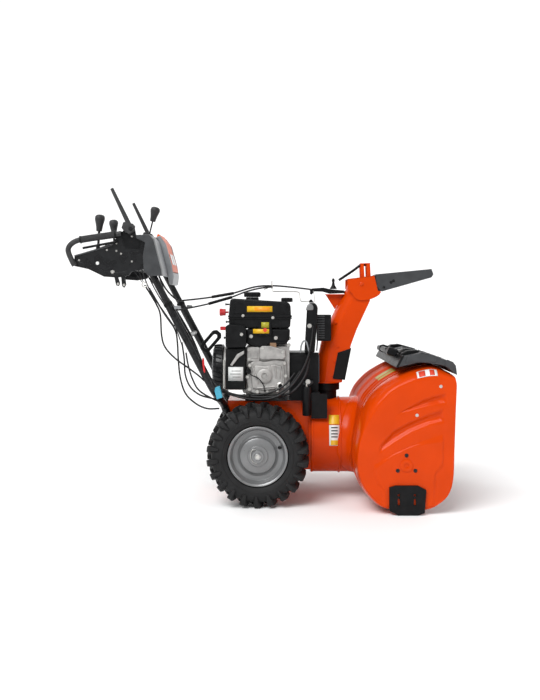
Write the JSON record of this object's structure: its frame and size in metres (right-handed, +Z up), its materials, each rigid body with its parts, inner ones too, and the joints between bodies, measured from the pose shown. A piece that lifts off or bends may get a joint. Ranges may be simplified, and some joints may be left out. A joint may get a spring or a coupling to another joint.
{
  "type": "two stage snowblower",
  "caption": "Walk-behind two stage snow thrower with auger housing, turning chute and tilting deflector, engine, chunky tyres and upright handlebars with levers.",
  "frame": {"origin": "on the ground below the middle of the machine", "axes": "+X forward to the auger, +Y the operator's left, +Z up"},
  "size_m": [1.4974, 0.794, 1.239],
  "materials": {
    "orange_paint": "gloss powder coat",
    "orange_plastic": "gloss moulded",
    "black_plastic": "fine textured moulded",
    "black_steel": "satin powder coat",
    "grey_plastic": "moulded",
    "silver_plastic": "painted moulded",
    "silver_paint": "satin wheel paint",
    "bare_steel": "machined",
    "cast_aluminium": "as cast",
    "tyre_rubber": "moulded tread",
    "belt_rubber": "cloth backed",
    "cable_jacket": "smooth",
    "red_plastic": "moulded"
  },
  "bodies": {
    "chassis": {"auger_housing": "orange_paint", "right_side_plate": "orange_paint", "left_side_plate": "orange_paint", "scraper_bar": "black_steel", "right_skid_shoe": "black_steel", "left_skid_shoe": "black_steel", "housing_cover": "grey_plastic", "auger_gearbox": "cast_aluminium", "impeller_drum": "orange_paint", "drive_belt": "belt_rubber", "belt_cover": "black_plastic", "chassis_tub": "orange_paint", "engine_block": "cast_aluminium", "fuel_tank": "black_plastic", "starter_motor": "black_plastic", "recoil_cover": "black_plastic", "muffler": "black_steel", "chute_neck": "black_plastic", "control_column": "black_plastic", "right_lower_handle_tube": "black_steel", "left_lower_handle_tube": "black_steel", "right_upper_handle_tube": "black_steel", "left_upper_handle_tube": "black_steel", "cross_bar": "black_steel", "right_control_bracket": "black_steel", "left_control_bracket": "black_steel", "right_grip_loop": "black_plastic", "left_grip_loop": "black_plastic", "control_panel": "black_plastic", "console_shell": "silver_plastic", "headlight_panel": "orange_plastic", "wiring_harness": "cable_jacket", "chute_cable": "cable_jacket"},
    "right_wheel": {"right_tyre": "tyre_rubber", "right_rim": "silver_paint", "right_half_axle": "bare_steel"},
    "left_wheel": {"left_tyre": "tyre_rubber", "left_rim": "silver_paint", "left_half_axle": "bare_steel"},
    "auger": {"auger_shaft": "bare_steel", "right_auger_flight": "black_steel", "left_auger_flight": "black_steel"},
    "impeller_rotor": {"impeller": "orange_paint", "impeller_pulley": "bare_steel"},
    "crankshaft": {"engine_pulley": "bare_steel"},
    "chute_body": {"chute": "orange_paint", "chute_guard": "black_plastic", "chute_gear_cover": "black_plastic"},
    "deflector": {"deflector_hood": "orange_paint", "deflector_tip": "grey_plastic"},
    "speed_control": {"speed_lever": "black_plastic"},
    "deflector_control": {"deflector_lever": "black_plastic"},
    "chute_control": {"chute_lever": "black_plastic"},
    "auger_clutch": {"auger_clutch_lever": "black_plastic"},
    "drive_clutch": {"drive_clutch_lever": "black_plastic"},
    "right_steering_trigger": {"right_trigger": "black_plastic"},
    "left_steering_trigger": {"left_trigger": "black_plastic"},
    "tank_cap": {"fuel_cap": "black_plastic"},
    "pull_handle": {"starter_handle": "black_plastic"},
    "choke": {"choke_knob": "red_plastic"}
  },
  "joints": [
    {"name": "right_wheel_spin", "type": "hinge", "parent": "chassis", "child": "right_wheel", "pos_m": [-0.006, -0.215, 0.2], "axis": [0, 1, 0], "continuous": true},
    {"name": "left_wheel_spin", "type": "hinge", "parent": "chassis", "child": "left_wheel", "pos_m": [-0.006, 0.215, 0.2], "axis": [0, 1, 0], "continuous": true},
    {"name": "auger_spin", "type": "hinge", "parent": "chassis", "child": "auger", "pos_m": [0.5525, 0, 0.1845], "axis": [0, 1, 0], "continuous": true},
    {"name": "impeller_spin", "type": "hinge", "parent": "chassis", "child": "impeller_rotor", "pos_m": [0.28, 0, 0.248], "axis": [1, 0, 0], "continuous": true},
    {"name": "crankshaft_spin", "type": "hinge", "parent": "chassis", "child": "crankshaft", "pos_m": [0.16, 0, 0.52], "axis": [1, 0, 0], "continuous": true},
    {"name": "chute_turn", "type": "hinge", "parent": "chassis", "child": "chute_body", "pos_m": [0.272, 0, 0.463], "axis": [0, 0, 1], "range_deg": [-75, 75], "deforming": ["chute_cable"]},
    {"name": "deflector_tilt", "type": "hinge", "parent": "chute_body", "child": "deflector", "pos_m": [0.415, 0, 0.869], "axis": [0, 1, 0], "range_deg": [-6, 50]},
    {"name": "speed_lever_shift", "type": "hinge", "parent": "chassis", "child": "speed_control", "pos_m": [-0.64, -0.2, 0.95], "axis": [0, 1, 0], "range_deg": [-16, 16]},
    {"name": "deflector_lever_swing", "type": "hinge", "parent": "chassis", "child": "deflector_control", "pos_m": [-0.64, 0.2, 0.95], "axis": [0, 1, 0], "range_deg": [-16, 16]},
    {"name": "chute_lever_swing", "type": "hinge", "parent": "chassis", "child": "chute_control", "pos_m": [-0.474, 0, 1.024], "axis": [1, 0, 0], "range_deg": [-24, 24]},
    {"name": "auger_clutch_press", "type": "hinge", "parent": "chassis", "child": "auger_clutch", "pos_m": [-0.496, -0.27, 1.078], "axis": [0, -1, 0], "range_deg": [0, 56], "stiffness_Nm_per_rad": 1.2, "springref_deg": -17.19},
    {"name": "drive_clutch_press", "type": "hinge", "parent": "chassis", "child": "drive_clutch", "pos_m": [-0.496, 0.27, 1.078], "axis": [0, -1, 0], "range_deg": [0, 56], "stiffness_Nm_per_rad": 1.2, "springref_deg": -17.19},
    {"name": "right_trigger_pull", "type": "hinge", "parent": "chassis", "child": "right_steering_trigger", "pos_m": [-0.556, -0.27, 1.029], "axis": [0, 1, 0], "range_deg": [0, 4], "stiffness_Nm_per_rad": 4, "springref_deg": -14.32},
    {"name": "left_trigger_pull", "type": "hinge", "parent": "chassis", "child": "left_steering_trigger", "pos_m": [-0.556, 0.27, 1.029], "axis": [0, 1, 0], "range_deg": [0, 4], "stiffness_Nm_per_rad": 4, "springref_deg": -14.32},
    {"name": "fuel_cap_turn", "type": "hinge", "parent": "chassis", "child": "tank_cap", "pos_m": [-0.033, -0.03, 0.82], "axis": [0, 0, 1], "range_deg": [0, 120]},
    {"name": "starter_pull", "type": "slide", "parent": "chassis", "child": "pull_handle", "axis": [-0.5, 0, 0.866], "range_m": [0, 0.25], "stiffness_N_per_m": 12, "springref_m": -0.3},
    {"name": "choke_turn", "type": "hinge", "parent": "chassis", "child": "choke", "pos_m": [-0.15, -0.1, 0.754], "axis": [1, 0, 0], "range_deg": [0, 80]}
  ],
  "couplings": [
    {"joint": "impeller_spin", "follows": "auger_spin", "ratio": 10},
    {"joint": "crankshaft_spin", "follows": "auger_spin", "ratio": 24.706},
    {"joint": "chute_lever_swing", "follows": "chute_turn", "ratio": 0.3},
    {"joint": "deflector_lever_swing", "follows": "deflector_tilt", "ratio": 0.3}
  ]
}
